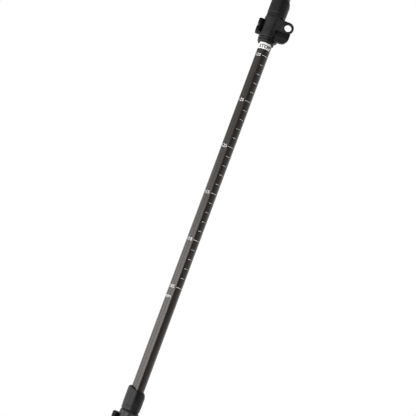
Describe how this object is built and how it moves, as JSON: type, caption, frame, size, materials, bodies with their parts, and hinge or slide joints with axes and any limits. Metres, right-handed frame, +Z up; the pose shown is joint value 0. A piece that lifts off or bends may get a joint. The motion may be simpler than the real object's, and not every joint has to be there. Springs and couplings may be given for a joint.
{
  "type": "trekking pole",
  "caption": "Telescopic trekking pole in round sections, with cam-lever clamps that carry an eyed tab, foam grip, wrist strap, basket and hard tip.",
  "frame": {"origin": "on the shaft's axis at the middle of the hand grip, where the hand holds the pole", "axes": "+Z up along the shaft towards the grip's top; -Y faces the viewer of the printed scale; +X is the side the levers' tabs point to"},
  "size_m": [0.0868, 0.052, 1.3129],
  "materials": {
    "grip_plastic": "fine moulded texture",
    "foam": "closed-cell foam, soft matt",
    "webbing": "woven polyester webbing",
    "padding": "brushed knit lining over thin foam",
    "shaft": "carbon-fibre composite under satin lacquer, white printed scale",
    "clamp_plastic": "moulded nylon, satin",
    "lever_plastic": "moulded nylon, satin",
    "cam_plastic": "glossy black acetal",
    "steel": "plated steel",
    "black_steel": "blackened steel",
    "bush_plastic": "self-lubricating nylon",
    "tip_plastic": "tough moulded polymer",
    "carbide": "sintered carbide, ground"
  },
  "bodies": {
    "upper_section": {"grip_head": "grip_plastic", "grip": "foam", "grip_ring": "grip_plastic", "grip_sleeve": "foam", "strap_pin": "steel", "strap_wedge": "grip_plastic", "upper_tube": "shaft", "upper_ferrule": "clamp_plastic", "upper_collar": "clamp_plastic", "upper_saddle": "steel", "upper_barrel": "black_steel", "upper_washer": "steel"},
    "strap": {"strap_webbing": "webbing", "strap_pad": "padding"},
    "upper_clamp_screw": {"upper_screw": "black_steel"},
    "upper_clamp_lever": {"upper_lever": "lever_plastic", "upper_cam": "cam_plastic"},
    "middle_guide": {"middle_bush": "bush_plastic"},
    "middle_section": {"middle_tube": "shaft", "lower_ferrule": "clamp_plastic", "lower_collar": "clamp_plastic", "lower_saddle": "steel", "lower_barrel": "black_steel", "lower_washer": "steel"},
    "lower_clamp_screw": {"lower_screw": "black_steel"},
    "lower_clamp_lever": {"lower_lever": "lever_plastic", "lower_cam": "cam_plastic"},
    "lower_guide": {"lower_bush": "bush_plastic"},
    "lower_section": {"lower_tube": "shaft", "tip_holder": "tip_plastic", "basket": "tip_plastic", "carbide_tip": "carbide"}
  },
  "joints": [
    {"name": "strap_swing", "type": "hinge", "parent": "upper_section", "child": "strap", "pos_m": [-0.0208, 0, 0.05], "axis": [0, 1, 0], "range_deg": [0, 120]},
    {"name": "upper_lever_open", "type": "hinge", "parent": "upper_section", "child": "upper_clamp_lever", "pos_m": [-0.0122, -0.0041, -0.4145], "axis": [0, 0, -1], "range_deg": [0, 120]},
    {"name": "upper_screw_turn", "type": "hinge", "parent": "upper_section", "child": "upper_clamp_screw", "pos_m": [-0.0122, 0, -0.4145], "axis": [0, 1, 0], "continuous": true},
    {"name": "middle_slide", "type": "slide", "parent": "upper_section", "child": "middle_guide", "axis": [0, 0, 1], "range_m": [0, 0.355]},
    {"name": "middle_twist", "type": "hinge", "parent": "middle_guide", "child": "middle_section", "pos_m": [0, 0, -0.431], "axis": [0, 0, 1], "continuous": true},
    {"name": "lower_lever_open", "type": "hinge", "parent": "middle_section", "child": "lower_clamp_lever", "pos_m": [-0.0122, -0.0041, -0.8343], "axis": [0, 0, -1], "range_deg": [0, 120]},
    {"name": "lower_screw_turn", "type": "hinge", "parent": "middle_section", "child": "lower_clamp_screw", "pos_m": [-0.0122, 0, -0.8343], "axis": [0, 1, 0], "continuous": true},
    {"name": "lower_slide", "type": "slide", "parent": "middle_section", "child": "lower_guide", "axis": [0, 0, 1], "range_m": [0, 0.3]},
    {"name": "lower_twist", "type": "hinge", "parent": "lower_guide", "child": "lower_section", "pos_m": [0, 0, -0.8508], "axis": [0, 0, 1], "continuous": true}
  ]
}
